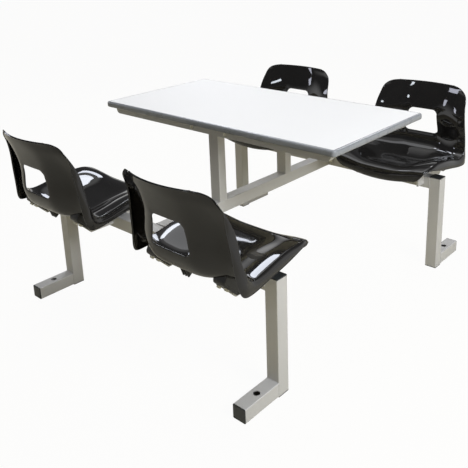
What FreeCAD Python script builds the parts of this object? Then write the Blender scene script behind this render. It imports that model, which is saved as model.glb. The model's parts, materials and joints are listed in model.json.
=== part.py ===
# Four-seat table: a board on two posts, one spine, two bench beams and four fixed moulded seats.
# Millimetres. +Z up, X along the table's long side, front row towards -Y.
# The origin is on the floor, in the middle of the frame.
import FreeCAD, Part
import math
import os
import Sketcher

Vector = FreeCAD.Vector
Rotation = FreeCAD.Rotation

doc = FreeCAD.newDocument("SeatTable")
sheet = doc.addObject("Spreadsheet::Sheet", "Sheet")

dimensions = [
    ("topLength", 1200), ("topWidth", 600), ("topThickness", 25), ("topHeight", 750),
    ("topOffset", 20),           # the board sits this far towards the rear
    ("topCorner", 14), ("edgingWidth", 10), ("edgingRound", 8),
    ("railLength", 1132), ("railHeight", 28), ("railDepth", 25), ("railFace", 252),
    ("railEndRadius", 20), ("railSheet", 3), ("railBoltSpread", 90),
    ("screwSpread", 150), ("screwDepth", 18), ("screwCore", 4),
    ("headBarLength", 230), ("postWidth", 50), ("postDepth", 40), ("postCentre", 207),
    ("tubeSize", 50), ("tubeWall", 2.5), ("tubeCorner", 3),
    ("beamTop", 414), ("beamCentre", 545), ("uprightCentre", 569),
    ("flangeThickness", 5), ("flangeWidth", 100), ("flangeHeight", 44), ("flangeBoltSpread", 38),
    ("floorGap", 3), ("capRise", 4), ("plugDepth", 15),
    ("footLength", 158), ("footHoleReach", 79), ("accessHole", 24), ("fixingHole", 12),
    ("seatCentre", 365), ("armSpread", 150), ("armThickness", 8), ("armBottom", 381),
    ("shellThickness", 5), ("lipThickness", 3.2),
    ("blockWidth", 46), ("runnerWidth", 24), ("seatBoltSpread", 15),
    # bolts and screws: heads across, heads deep, shanks
    ("boltHead", 13), ("boltShank", 8), ("railBoltHeight", 4), ("railBoltLength", 28),
    ("screwHead", 9), ("screwHeadHeight", 2.5),
    ("hexHeight", 5.5), ("flangeBoltLength", 20), ("seatBoltLength", 22),
    ("seatBoltOut", 176), ("seatBoltHeight", 432),    # where a head meets a block's sloping face
]
for row, (alias, value) in enumerate(dimensions, start=1):
    sheet.set("A%d" % row, alias)
    sheet.set("B%d" % row, str(value))
    sheet.setAlias("B%d" % row, alias)
doc.recompute()

subParts = []


def size(alias):
    return float(sheet.get(alias))


def place(obj, x, y, z, rotation=Rotation()):
    """Turn an object and bind its position to the sheet."""
    obj.Placement = FreeCAD.Placement(Vector(), rotation)
    for axis, text in (("x", x), ("y", y), ("z", z)):
        obj.setExpression("Placement.Base." + axis, text)
    return obj


def keep(obj, label):
    """Name a sub-part and list it for export."""
    obj.Label = label
    subParts.append(obj)
    return obj


def originPlane(body, role):
    return next(f for f in body.Origin.OriginFeatures if f.Role == role)


def sketchOn(body, role="XY_Plane", suffix="Sketch"):
    sketch = body.newObject("Sketcher::SketchObject", body.Name + suffix)
    sketch.AttachmentSupport = [(originPlane(body, role), "")]
    sketch.MapMode = "FlatFace"
    return sketch


def addProfile(sketch, corners):
    """Closed outline whose corners are pairs of sheet expressions."""
    first = sketch.GeometryCount
    spots = [Vector(evaluate(x), evaluate(y), 0) for x, y in corners]
    for start, end in zip(spots, spots[1:] + spots[:1]):
        sketch.addGeometry(Part.LineSegment(start, end), False)
    count = len(corners)
    for k in range(count):
        sketch.addConstraint(Sketcher.Constraint("Coincident", first + k, 2, first + (k + 1) % count, 1))
    for k, pair in enumerate(corners):
        for kind, text, at in (("DistanceX", pair[0], spots[k].x), ("DistanceY", pair[1], spots[k].y)):
            index = sketch.addConstraint(Sketcher.Constraint(kind, -1, 1, first + k, 1, at))
            name = "%s%d" % (kind, first + k)
            sketch.renameConstraint(index, name)
            sketch.setExpression("Constraints." + name, text)


def evaluate(text):
    return float(sheet.evalExpression(text.replace("Sheet.", "")))


def addRectangle(sketch, width, height):
    """Rectangle centred on the sketch origin."""
    halfX, halfY = "(%s) / 2" % width, "(%s) / 2" % height
    addProfile(sketch, [("-" + halfX, "-" + halfY), (halfX, "-" + halfY),
                        (halfX, halfY), ("-" + halfX, halfY)])


def pad(body, sketch, length, midplane=False):
    feature = body.newObject("PartDesign::Pad", body.Name + "Pad")
    feature.Profile = sketch
    feature.setExpression("Length", length)
    feature.Midplane = midplane
    sketch.Visibility = False
    doc.recompute()
    return feature


def edgesWhere(shape, test):
    return ["Edge%d" % (k + 1) for k, edge in enumerate(shape.Edges) if test(edge)]


def fillet(body, base, test, radius):
    names = edgesWhere(base.Shape, test)
    feature = body.newObject("PartDesign::Fillet", body.Name + "Fillet")
    feature.Base = (base, names)
    feature.setExpression("Radius", radius)
    doc.recompute()
    return feature


def upright(edge):
    """True for a straight edge along the pad's own direction."""
    start, end = edge.Vertexes[0].Point, edge.Vertexes[-1].Point
    return abs(start.x - end.x) < 0.01 and abs(start.y - end.y) < 0.01 and start.distanceToPoint(end) > 1


def tube(label, width, height, length):
    """Rectangular tube padded along its own Z, with rounded long edges."""
    body = doc.addObject("PartDesign::Body", label)
    sketch = sketchOn(body)
    addRectangle(sketch, width, height)
    wall = "2 * Sheet.tubeWall"
    addRectangle(sketch, "%s - %s" % (width, wall), "%s - %s" % (height, wall))
    padded = pad(body, sketch, length)
    halfWidth = evaluate("(%s) / 2" % width)
    outer = lambda edge: upright(edge) and abs(abs(edge.Vertexes[0].Point.x) - halfWidth) < 0.1
    fillet(body, padded, outer, "Sheet.tubeCorner")
    return body


def plate(label, width, height, thickness):
    body = doc.addObject("PartDesign::Body", label)
    sketch = sketchOn(body)
    addRectangle(sketch, width, height)
    pad(body, sketch, thickness)
    return body


def cylinder(name, diameter, height, x, y, z, rotation=Rotation()):
    rod = doc.addObject("Part::Cylinder", name)
    rod.setExpression("Radius", "(%s) / 2" % diameter)
    rod.setExpression("Height", height)
    return place(rod, x, y, z, rotation)


def hexHead(name, across, height, x, y, z, rotation=Rotation()):
    head = doc.addObject("Part::Prism", name)
    head.Polygon = 6
    head.setExpression("Circumradius", "(%s) / 1.732" % across)
    head.setExpression("Height", height)
    return place(head, x, y, z, rotation)


def compound(name, links):
    group = doc.addObject("Part::Compound", name)
    group.Links = links
    return group


def cut(name, base, tool):
    result = doc.addObject("Part::Cut", name)
    result.Base = base
    result.Tool = tool
    return result


def fuse(name, base, tool):
    result = doc.addObject("Part::Fuse", name)
    result.Base = base
    result.Tool = tool
    return result


alongX = Rotation(Vector(0, 1, 0), 90)
alongY = Rotation(Vector(1, 0, 0), -90)
againstY = Rotation(Vector(1, 0, 0), 90)
sides = (("left", "-"), ("right", ""))
rows = (("front", "-"), ("rear", ""))

# Board and its edging.
boardBottom = "Sheet.topHeight - Sheet.topThickness"

board = doc.addObject("PartDesign::Body", "Board")
boardSketch = sketchOn(board)
boardSides = ("Sheet.topLength - 2 * Sheet.edgingWidth", "Sheet.topWidth - 2 * Sheet.edgingWidth")
addRectangle(boardSketch, *boardSides)
boardPad = pad(board, boardSketch, "Sheet.topThickness")
fillet(board, boardPad, upright, "Sheet.topCorner - Sheet.edgingWidth")
place(board, "0", "Sheet.topOffset", boardBottom)

edging = doc.addObject("PartDesign::Body", "Edging")
edgingSketch = sketchOn(edging)
addRectangle(edgingSketch, "Sheet.topLength", "Sheet.topWidth")
addRectangle(edgingSketch, *boardSides)
edgingPad = pad(edging, edgingSketch, "Sheet.topThickness")
halfTop = evaluate("Sheet.topLength / 2")


def onOutside(edge):
    return abs(abs(edge.Vertexes[0].Point.x) - halfTop) < 0.1


edgingCorners = fillet(edging, edgingPad, lambda e: upright(e) and onOutside(e), "Sheet.topCorner")
edgingInner = fillet(edging, edgingCorners, lambda e: upright(e) and e.Length > 1
                     and abs(abs(e.Vertexes[0].Point.x) - halfTop + size("edgingWidth")) < 0.1,
                     "Sheet.topCorner - Sheet.edgingWidth")
halfWidthTop = evaluate("Sheet.topWidth / 2")


def onRim(edge):
    """Edges of the outer wall, at the board's upper or lower face."""
    box = edge.BoundBox
    flat = box.ZLength < 0.01
    reach = max(abs(box.XMin), abs(box.XMax)) > halfTop - 0.1
    depth = max(abs(box.YMin), abs(box.YMax)) > halfWidthTop - 0.1
    return flat and (reach or depth)


fillet(edging, edgingInner, onRim, "Sheet.edgingRound")
place(edging, "0", "Sheet.topOffset", boardBottom)
keep(edging, "table_edging")

# Rails, head bars and posts under the board.
screws = []
screwHoles = []
railBolts = []
railBoltHoles = {}
for rowName, sign in rows:
    outward = alongY if sign == "" else againstY
    inward = againstY if sign == "" else alongY
    railBoltHoles[rowName] = []
    for sideName, sideSign in sides:
        spot = rowName + sideName
        x = sideSign + "Sheet.railBoltSpread"
        height = boardBottom + " - Sheet.railHeight / 2"
        face = sign + "Sheet.railFace"
        stem = ("Sheet.boltShank", "Sheet.railBoltLength", x, face, height, inward)
        head = cylinder("RailBoltHead" + spot, "Sheet.boltHead", "Sheet.railBoltHeight",
                        x, face, height, outward)
        shank = cylinder("RailBoltShank" + spot, *stem)
        hole = cylinder("RailBoltHole" + spot, *stem)
        railBolts.append(fuse("RailBolt" + spot, head, shank))
        railBoltHoles[rowName].append(hole)
        for step in (1, 3):
            name = "%s%d" % (spot, step)
            x = "%s%d * Sheet.screwSpread" % (sideSign, step)
            y = sign + "(Sheet.railFace - Sheet.railDepth / 2)"
            under = boardBottom + " - Sheet.railSheet"
            stem = ("Sheet.screwCore", "Sheet.screwDepth", x, y, under)
            head = cylinder("ScrewHead" + name, "Sheet.screwHead", "Sheet.screwHeadHeight", x, y,
                            under + " - Sheet.screwHeadHeight")
            shank = cylinder("ScrewShank" + name, *stem)
            screws.append(fuse("Screw" + name, head, shank))
            screwHoles.append(cylinder("ScrewHole" + name, *stem))

keep(compound("RailBolts", railBolts), "rail_bolts")
keep(compound("TopScrews", screws), "top_screws")
screwDrill = compound("ScrewDrill", screwHoles)
keep(cut("BoardDrilled", board, screwDrill), "table_top")

for rowName, sign in rows:
    rail = doc.addObject("PartDesign::Body", rowName.title() + "Rail")
    railSketch = sketchOn(rail)
    addRectangle(railSketch, "Sheet.railLength", "Sheet.railHeight")
    railPad = pad(rail, railSketch, "Sheet.railDepth")
    # the sketch's -Y side faces the floor on both rails
    lowEnds = fillet(rail, railPad, lambda e: upright(e) and e.Vertexes[0].Point.y < 0, "Sheet.railEndRadius")
    openFace = ["Face%d" % (k + 1) for k, face in enumerate(lowEnds.Shape.Faces)
                if abs(face.CenterOfMass.z) < 0.01]
    hollow = rail.newObject("PartDesign::Thickness", rail.Name + "Hollow")
    hollow.Base = (lowEnds, openFace)
    hollow.setExpression("Value", "Sheet.railSheet")
    hollow.Reversed = True
    doc.recompute()
    turn = Rotation(Vector(1, 0, 0), 90) if sign == "-" else Rotation(Vector(0, 1, 1), 180)
    place(rail, "0", sign + "(Sheet.railFace - Sheet.railDepth)",
          boardBottom + " - Sheet.railHeight / 2", turn)
    boltDrill = compound(rowName + "RailDrill", railBoltHoles[rowName])
    drilled = cut(rail.Name + "Bolted", rail, boltDrill)
    keep(cut(rail.Name + "Drilled", drilled, screwDrill), rowName + "_rail")

    # the head bar is a tube that fills the rail's channel and stands on the post
    inside = "(Sheet.postCentre - Sheet.postDepth / 2)"
    depth = "Sheet.railFace - Sheet.railSheet - %s" % inside
    barHeight = "Sheet.railHeight - 2 * Sheet.railSheet"
    bar = tube(rowName.title() + "HeadBar", barHeight, depth, "Sheet.headBarLength")
    place(bar, "-Sheet.headBarLength / 2", "%s(%s + (%s) / 2)" % (sign, inside, depth),
          boardBottom + " - Sheet.railHeight / 2", alongX)
    keep(cut(bar.Name + "Drilled", bar, compound(rowName + "BarDrill", railBoltHoles[rowName])),
         rowName + "_head_bar")

    post = tube(rowName.title() + "Post", "Sheet.postWidth", "Sheet.postDepth",
                boardBottom + " - Sheet.railHeight + Sheet.railSheet - Sheet.beamTop")
    place(post, "0", sign + "Sheet.postCentre", "Sheet.beamTop")
    keep(post, rowName + "_post")

# Spine and bench beams.
midHeight = "Sheet.beamTop - Sheet.tubeSize / 2"
beamInside = "(Sheet.beamCentre - Sheet.tubeSize / 2)"

spine = tube("Spine", "Sheet.tubeSize", "Sheet.tubeSize", "2 * (%s - Sheet.flangeThickness)" % beamInside)
place(spine, "0", "-(%s - Sheet.flangeThickness)" % beamInside, midHeight, alongY)
keep(spine, "spine")

flangeBolts = []
for rowName, sign in rows:
    inward = againstY if sign == "" else alongY
    outward = alongY if sign == "" else againstY
    flange = plate(rowName.title() + "Flange", "Sheet.flangeWidth", "Sheet.flangeHeight",
                   "Sheet.flangeThickness")
    place(flange, "0", "%s%s" % (sign, beamInside), midHeight, inward)
    beam = tube(rowName.title() + "Beam", "Sheet.tubeSize", "Sheet.tubeSize",
                "2 * (Sheet.uprightCentre - Sheet.tubeSize / 2)")
    place(beam, "-(Sheet.uprightCentre - Sheet.tubeSize / 2)", sign + "Sheet.beamCentre", midHeight, alongX)
    holes = []
    for sideName, sideSign in sides:
        spot = rowName + sideName
        x = sideSign + "Sheet.flangeBoltSpread"
        face = sign + "(%s - Sheet.flangeThickness)" % beamInside
        at = (x, face, midHeight)
        stem = ("Sheet.boltShank", "Sheet.flangeBoltLength", *at, outward)
        head = hexHead("FlangeBoltHead" + spot, "Sheet.boltHead", "Sheet.hexHeight", *at, inward)
        shank = cylinder("FlangeBoltShank" + spot, *stem)
        flangeBolts.append(fuse("FlangeBolt" + spot, head, shank))
        holes.append(cylinder("FlangeHole" + spot, *stem))
    drill = compound(rowName + "FlangeDrill", holes)
    keep(cut(flange.Name + "Drilled", flange, drill), rowName + "_spine_flange")
    keep(cut(beam.Name + "Drilled", beam, drill), rowName + "_beam")
keep(compound("FlangeBolts", flangeBolts), "spine_flange_bolts")


# Uprights, feet and their caps.
def cap(label, flatThickness):
    """Square moulded cap: a plate on top, and a plug that fills the tube's bore below it."""
    body = plate(label, "Sheet.tubeSize", "Sheet.tubeSize", flatThickness)
    fillet(body, body.Tip, upright, "Sheet.tubeCorner")
    plug = sketchOn(body, suffix="Plug")
    bore = "Sheet.tubeSize - 2 * Sheet.tubeWall"
    addRectangle(plug, bore, bore)
    stem = body.newObject("PartDesign::Pad", label + "Stem")
    stem.Profile = plug
    stem.setExpression("Length", "Sheet.plugDepth")
    stem.Reversed = True
    plug.Visibility = False
    doc.recompute()
    return body


for rowName, sign in rows:
    for sideName, sideSign in sides:
        corner = rowName + "_" + sideName
        name = rowName.title() + sideName.title()
        x = sideSign + "Sheet.uprightCentre"
        y = sign + "Sheet.beamCentre"
        column = tube(name + "Upright", "Sheet.tubeSize", "Sheet.tubeSize", "Sheet.beamTop - Sheet.floorGap")
        place(column, x, y, "Sheet.floorGap")
        keep(column, corner + "_upright")
        keep(place(cap(name + "TopCap", "Sheet.capRise"), x, y, "Sheet.beamTop"), corner + "_upright_cap")
        turned = Rotation(Vector(1, 0, 0), 180)
        shoe = cap(name + "Shoe", "Sheet.floorGap")
        keep(place(shoe, x, y, "Sheet.floorGap", turned), corner + "_floor_shoe")

        outward = alongY if sign == "" else againstY
        start = "%s(Sheet.beamCentre + Sheet.tubeSize / 2)" % sign
        middle = "Sheet.floorGap + Sheet.tubeSize / 2"
        foot = tube(name + "Foot", "Sheet.tubeSize", "Sheet.tubeSize", "Sheet.footLength")
        place(foot, x, start, middle, outward)
        holeY = "%s(Sheet.beamCentre + Sheet.tubeSize / 2 + Sheet.footHoleReach)" % sign
        upper = cylinder(name + "AccessHole", "Sheet.accessHole", "Sheet.tubeSize", x, holeY, middle)
        lower = cylinder(name + "FixingHole", "Sheet.fixingHole", "Sheet.tubeSize", x, holeY, "0")
        keep(cut(name + "FootDrilled", foot, compound(name + "FootDrill", [upper, lower])), corner + "_foot")
        end = "%s(Sheet.beamCentre + Sheet.tubeSize / 2 + Sheet.footLength)" % sign
        keep(place(cap(name + "FootCap", "Sheet.capRise"), x, end, middle, outward), corner + "_foot_cap")

# Seats.
# Seat frame: x across the seat, y away from the table measured from the beam's middle, z up.
# A station is one line across the shell, from the front lip over the pan to the top of the back:
# middle (y, z), fold (y, z, x), free edge of the lip (y, z, x), and how flat the middle stays.
stations = [
    ((-158, 410), (-156, 430, 165), (-157, 429, 169), 0.0),
    ((-168, 434), (-161, 456, 196), (-160, 450, 200), 0.2),
    ((-161, 456), (-155, 475, 208), (-155, 467, 212), 0.4),
    ((-136, 468), (-131, 489, 218), (-131, 477, 225), 0.6),
    ((-60, 458), (-62, 496, 226), (-60, 466, 234), 0.75),
    ((0, 449), (0, 491, 228), (0, 453, 236), 0.75),
    ((60, 440), (60, 480, 230), (60, 443, 238), 0.75),
    ((115, 437), (108, 471, 232), (112, 434, 240), 0.75),
    ((165, 448), (142, 470, 238), (158, 430, 242), 0.75),
    ((202, 462), (160, 481, 242), (188, 438, 239), 0.75),
    ((224, 487), (172, 504, 243), (200, 482, 229), 0.75),
    ((235, 522), (182, 534, 239), (205, 528, 222), 0.75),
    ((237, 590), (187, 590, 231), (211, 590, 216), 0.75),
    ((247, 650), (199, 650, 222), (217, 650, 209), 0.6),
    ((264, 702), (222, 702, 210), (227, 701, 210), 0.4),
    ((274, 726), (233, 725, 200), (237, 724, 203), 0.25),
    ((281, 743), (241, 743, 184), (243, 741, 188), 0.12),
    ((285, 754), (254, 754, 160), (254, 753, 164), 0.05),
    ((287, 758), (267, 758, 128), (266, 758, 132), 0.0),
]
acrossSteps = (0.2, 0.4, 0.55, 0.7, 0.82, 0.92, 1.0)
lipSteps = (0.35, 0.7, 1.0)
lipBulge = 0.1                  # how far the rolled lip stands out, as a share of its depth
thinningSteps = 3               # steps over which the wall thins from the pan to the lip
degree = 3                      # of the sitting surface and its offset
fitRounds = 2                   # rounds that draw a surface onto its grid of points
holeTop, holeBottom = 637, 530
holeTopHalf, holeBottomHalf = 68, 82
holeRadius = 20
holeNear, holeRun = 150, 200    # the cut through the back starts in front of it and runs past it
ribSpots = (-11, 0, 11)         # three small ribs under the bend
ribThickness = 4
ribOutline = ((150, 441.5), (182, 423), (198, 456))    # its upper edge ends inside the wall


def rise(step, flatness):
    """Share of the way from the middle's height to the fold's, a step across the shell."""
    ramp = min(max((step - 0.3) / 0.6, 0), 1)
    return flatness * ramp * ramp * (3 - 2 * ramp) + (1 - flatness) * step * step


def halfLine(station):
    """Points of one station from the middle to the free edge, on the +x side."""
    middle, fold, free, flatness = station
    points = []
    lipDepth = math.dist((fold[2], fold[0], fold[1]), (free[2], free[0], free[1]))
    for step in acrossSteps:
        share = rise(step, flatness)
        points.append(Vector(step * fold[2], middle[0] + (fold[0] - middle[0]) * share,
                             middle[1] + (fold[1] - middle[1]) * share))
    for step in lipSteps:
        bulge = lipBulge * lipDepth * 4 * step * (1 - step)
        points.append(Vector(fold[2] + (free[2] - fold[2]) * step + bulge,
                             fold[0] + (free[0] - fold[0]) * step,
                             fold[1] + (free[1] - fold[1]) * step))
    return points


def shellGrid():
    grid = []
    for station in stations:
        right = halfLine(station)
        left = [Vector(-p.x, p.y, p.z) for p in reversed(right)]
        grid.append(left + [Vector(0, station[0][0], station[0][1])] + right)
    return grid


def wallAt(step, lastStep):
    """Wall thickness a number of steps across the grid, thinner near both free edges."""
    fromLip = min(step, lastStep - step) - len(lipSteps)
    share = min(max(fromLip / thinningSteps, 0), 1)
    return size("lipThickness") + (size("shellThickness") - size("lipThickness")) * share


def offsetGrid(grid):
    """The same grid moved away from the sitter by the wall, along its own normals."""
    last, wide = len(grid) - 1, len(grid[0]) - 1
    moved = []
    for i, line in enumerate(grid):
        moved.append([])
        for k, point in enumerate(line):
            along = grid[min(i + 1, last)][k] - grid[max(i - 1, 0)][k]
            across = line[min(k + 1, wide)] - line[max(k - 1, 0)]
            normal = along.cross(across)
            normal.normalize()
            moved[-1].append(point + normal * wallAt(k, wide))
    return moved


def spans(poleCount):
    """Even knots of a clamped spline, and how often each counts."""
    count = poleCount - degree
    return [float(knot) for knot in range(count + 1)], [degree + 1] + [1] * (count - 1) + [degree + 1]


def nearestKnots(poleCount):
    """Where along a clamped spline each of its poles pulls most."""
    knots, times = spans(poleCount)
    spread = [knot for knot, repeats in zip(knots, times) for repeat in range(repeats)]
    return [sum(spread[i + 1:i + 1 + degree]) / degree for i in range(poleCount)]


def surfaceThrough(grid):
    """Smooth surface whose poles are moved until it passes close to every point of the grid."""
    rowKnots, rowTimes = spans(len(grid))
    lineKnots, lineTimes = spans(len(grid[0]))
    poles = [list(line) for line in grid]
    for fitRound in range(fitRounds + 1):
        surface = Part.BSplineSurface()
        surface.buildFromPolesMultsKnots(poles, rowTimes, lineTimes, rowKnots, lineKnots,
                                         False, False, degree, degree)
        for i, u in enumerate(nearestKnots(len(grid))):
            for k, v in enumerate(nearestKnots(len(grid[0]))):
                poles[i][k] = poles[i][k] + grid[i][k] - surface.value(u, v)
    return surface


def closedShell():
    """Solid between the sitting surface and its offset."""
    grid = shellGrid()
    top = surfaceThrough(grid)
    under = surfaceThrough(offsetGrid(grid))
    faces = [top.toShape(), under.toShape()]
    start, end, near, far = top.bounds()
    borders = [(top.uIso(u), under.uIso(u)) for u in (start, end)]
    borders += [(top.vIso(v), under.vIso(v)) for v in (near, far)]
    for first, second in borders:
        faces.append(Part.makeRuledSurface(first.toShape(), second.toShape(), 1))
    skin = Part.Shell(faces)
    skin.sewShape()
    return Part.Solid(skin)


def prism(outline, x, thickness):
    """Flat outline of (y, z) corners, given a thickness centred on x."""
    corners = [Vector(x - thickness / 2, y, z) for y, z in outline]
    face = Part.Face(Part.makePolygon(corners + corners[:1]))
    return face.extrude(Vector(thickness, 0, 0))


def backHole():
    outline = ((-holeBottomHalf, holeBottom), (holeBottomHalf, holeBottom),
               (holeTopHalf, holeTop), (-holeTopHalf, holeTop))
    corners = [Vector(x, holeNear, z) for x, z in outline]
    tool = Part.Face(Part.makePolygon(corners + corners[:1])).extrude(Vector(0, holeRun, 0))
    return tool.makeFillet(holeRadius, [e for e in tool.Edges if abs(e.tangentAt(e.FirstParameter).y) > 0.99])


def seatShell():
    shell = closedShell().cut(backHole())
    for x in ribSpots:
        shell = shell.fuse(prism(ribOutline, x, ribThickness))
    return shell.removeSplitter().Solids[0]


# the arm's outline, bound to the beam it straddles; the runner lies on its upper edge
armFront, armTop = -75, 436
halfTube = "Sheet.tubeSize / 2"
armOutline = [(str(armFront), "Sheet.armBottom"), ("-" + halfTube, "Sheet.armBottom"),
              ("-" + halfTube, "Sheet.beamTop"), (halfTube, "Sheet.beamTop"),
              (halfTube, "Sheet.armBottom"), ("127", "Sheet.armBottom"), ("172", "426"), ("152", "440"),
              ("110", str(armTop)), (str(armFront), str(armTop))]
# both outlines run up into the shell, which trims them
blockOutline = ((90, 500), (90, 430), (124, 396), (140, 396), (193, 449), (193, 458), (172, 500))
runnerOutline = ((armFront, armTop), (95, armTop), (95, 500), (armFront, 500))


def armSolid():
    return prism([(evaluate(y), evaluate(z)) for y, z in armOutline], size("armSpread"), size("armThickness"))


def seatBlock(shell):
    """Moulded block and runner between one arm and the shell, on the +x side."""
    x = size("armSpread")
    block = prism(blockOutline, x, size("blockWidth")).fuse(prism(runnerOutline, x, size("runnerWidth")))
    block = block.cut(armSolid()).cut(shell)
    block = min(block.Solids, key=lambda solid: solid.CenterOfMass.z)
    inward = Vector(0, -1, 1)
    for across in (-size("seatBoltSpread"), size("seatBoltSpread")):
        seat = Vector(x + across, size("seatBoltOut"), size("seatBoltHeight"))
        block = block.cut(Part.makeCylinder(size("boltShank") / 2, size("seatBoltLength"), seat, inward))
    return block


shellShape = seatShell()
blockShape = seatBlock(shellShape)
blocks = {"": blockShape, "-": blockShape.mirror(Vector(0, 0, 0), Vector(1, 0, 0))}

seatBolts = []
for rowName, sign in rows:
    turn = Rotation() if sign == "" else Rotation(Vector(0, 0, 1), 180)
    for sideName, sideSign in sides:
        seat = rowName + "_" + sideName
        centre = sideSign + "Sheet.seatCentre"
        y = sign + "Sheet.beamCentre"
        shell = doc.addObject("Part::Feature", seat + "Shell")
        shell.Shape = shellShape
        keep(place(shell, centre, y, "0", turn), seat + "_seat_shell")
        for armName, armSign in (("inner", "-"), ("outer", "")):
            # an arm's offset from the seat's middle, as a sign along X and along the seat's own x
            worldSign = "+" if (armSign == "") == (sideSign == "") else "-"
            localSign = "" if (worldSign == "+") == (sign == "") else "-"
            x = "%s %s Sheet.armSpread" % (centre, worldSign)
            name = "%s_%s" % (seat, armName)
            arm = doc.addObject("PartDesign::Body", name + "Arm")
            armSketch = sketchOn(arm, "YZ_Plane")
            addProfile(armSketch, armOutline)
            pad(arm, armSketch, "Sheet.armThickness", True)
            keep(place(arm, x, y, "0", turn), name + "_seat_arm")
            block = doc.addObject("Part::Feature", name + "Block")
            block.Shape = blocks[localSign]
            keep(place(block, centre, y, "0", turn), name + "_seat_block")
            outward = 1 if sign == "" else -1
            headTurn = Rotation(Vector(0, 0, 1), Vector(0, outward, -1))
            shankTurn = Rotation(Vector(0, 0, 1), Vector(0, -outward, 1))
            for boltSign in ("-", "+"):
                boltX = "%s %s Sheet.seatBoltSpread" % (x, boltSign)
                boltY = "%s %s Sheet.seatBoltOut" % (y, "+" if sign == "" else "-")
                at = (boltX, boltY, "Sheet.seatBoltHeight")
                spot = name + ("A" if boltSign == "-" else "B")
                head = hexHead("SeatBoltHead" + spot, "Sheet.boltHead", "Sheet.hexHeight", *at, headTurn)
                shank = cylinder("SeatBoltShank" + spot, "Sheet.boltShank", "Sheet.seatBoltLength",
                                 *at, shankTurn)
                seatBolts.append(fuse("SeatBolt" + spot, head, shank))
keep(compound("SeatBolts", seatBolts), "seat_bolts")

# Check and write.
doc.recompute()
for obj in doc.Objects:
    if "Invalid" in obj.State or "Error" in obj.State:
        raise SystemExit("failed object: " + obj.Label)
os.makedirs("parts", exist_ok=True)
for obj in subParts:
    shape = obj.Shape
    if shape.isNull() or not shape.isValid() or not shape.Solids:
        raise SystemExit("bad shape: " + obj.Label)
    shape.exportStep("parts/%s.step" % obj.Label)
    print(obj.Label, len(shape.Solids), "solids", round(shape.Volume / 1000), "cm3")
print(len(subParts), "sub-parts written")
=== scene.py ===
import json
import math

import bmesh
import bpy
import numpy as np
from mathutils import Matrix, Vector


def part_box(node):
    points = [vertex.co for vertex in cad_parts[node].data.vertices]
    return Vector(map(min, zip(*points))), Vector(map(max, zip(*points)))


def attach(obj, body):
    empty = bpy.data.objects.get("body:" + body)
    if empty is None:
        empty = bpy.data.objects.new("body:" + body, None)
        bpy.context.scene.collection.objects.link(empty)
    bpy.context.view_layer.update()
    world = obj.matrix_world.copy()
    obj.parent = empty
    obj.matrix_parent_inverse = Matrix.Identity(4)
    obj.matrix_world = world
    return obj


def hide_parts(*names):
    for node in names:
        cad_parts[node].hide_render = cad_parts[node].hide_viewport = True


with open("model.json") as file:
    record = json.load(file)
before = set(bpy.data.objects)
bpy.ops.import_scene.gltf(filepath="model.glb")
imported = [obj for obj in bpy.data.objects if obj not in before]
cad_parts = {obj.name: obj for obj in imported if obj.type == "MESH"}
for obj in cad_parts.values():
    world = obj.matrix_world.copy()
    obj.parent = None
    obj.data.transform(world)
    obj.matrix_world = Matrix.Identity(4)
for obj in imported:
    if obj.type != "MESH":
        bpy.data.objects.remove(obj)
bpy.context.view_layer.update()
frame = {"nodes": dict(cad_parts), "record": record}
mm = 0.001
scene = bpy.context.scene
print("frame loaded:", len(frame["nodes"]), "nodes")


class Wire:
    # one output socket of a node tree, which can be used in arithmetic
    def __init__(self, maker, socket):
        self.maker = maker
        self.socket = socket

    def combine(self, operation, first, second):
        return self.maker.node("ShaderNodeMath", {"operation": operation}, {0: first, 1: second})

    def __add__(self, other):
        return self.combine("ADD", self, other)

    def __radd__(self, other):
        return self.combine("ADD", other, self)

    def __sub__(self, other):
        return self.combine("SUBTRACT", self, other)

    def __rsub__(self, other):
        return self.combine("SUBTRACT", other, self)

    def __mul__(self, other):
        return self.combine("MULTIPLY", self, other)

    def __rmul__(self, other):
        return self.combine("MULTIPLY", other, self)


class NodeMaker:
    def __init__(self, tree):
        self.tree = tree
        tree.nodes.clear()

    def feed(self, socket, value):
        if isinstance(value, Wire):
            self.tree.links.new(value.socket, socket)
        else:
            socket.default_value = value

    def node(self, kind, settings=None, values=None, output=0):
        made = self.tree.nodes.new(kind)
        for name, value in (settings or {}).items():
            if name == "stops":
                self.setStops(made.color_ramp, value)
            else:
                setattr(made, name, value)
        for key, value in (values or {}).items():
            self.feed(made.inputs[key], value)
        return Wire(self, made.outputs[output]) if made.outputs else made

    def setStops(self, ramp, stops):
        for index, (place, shade) in enumerate(stops):
            stop = ramp.elements[index] if index < 2 else ramp.elements.new(place)
            stop.position = place
            stop.color = (shade, shade, shade, 1)

    def spread(self, x, y, z):
        return self.node("ShaderNodeCombineXYZ", values={0: x, 1: y, 2: z})

    def mixColour(self, factor, first, second):
        values = {0: factor, 6: first, 7: second}
        return self.node("ShaderNodeMix", {"data_type": "RGBA"}, values, output=2)

    def mixShader(self, factor, first, second):
        return self.node("ShaderNodeMixShader", values={0: factor, 1: first, 2: second})

    def ease(self, value, low, high, lowResult, highResult):
        # the value carried smoothly from one range to another
        return self.node("ShaderNodeMapRange", {"interpolation_type": "SMOOTHSTEP"},
                         {0: value, 1: low, 2: high, 3: lowResult, 4: highResult})

    def shade(self, kind, colour, **values):
        return self.node(kind, values={"Color": colour + (1,), **values})

    def ray(self, kind):
        return self.node("ShaderNodeLightPath", output=kind)

    def scaled(self, vector, factors):
        return self.node("ShaderNodeVectorMath", {"operation": "MULTIPLY"}, {0: vector, 1: factors})


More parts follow.
